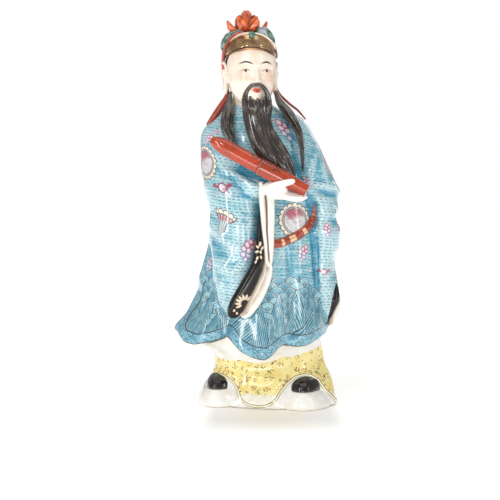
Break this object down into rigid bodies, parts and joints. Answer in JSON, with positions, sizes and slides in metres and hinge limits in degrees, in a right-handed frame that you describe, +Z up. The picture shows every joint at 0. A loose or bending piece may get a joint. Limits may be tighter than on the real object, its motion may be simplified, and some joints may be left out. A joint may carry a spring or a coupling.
{
  "type": "standing porcelain figure",
  "caption": "Standing glazed porcelain figure of a bearded court official in wide-sleeved robes, holding a long red roll across the chest, on a flat base.",
  "frame": {"origin": "middle of the footprint, on the underside", "axes": "+Z up, the figure faces -Y, +X towards the figure's own left hand"},
  "size_m": [0.1903, 0.1465, 0.437],
  "materials": {
    "glaze": "glossy overglaze enamels, turquoise for the most part, with red, yellow, black and white"
  },
  "bodies": {
    "root": {"figure": "glaze"}
  },
  "joints": []
}
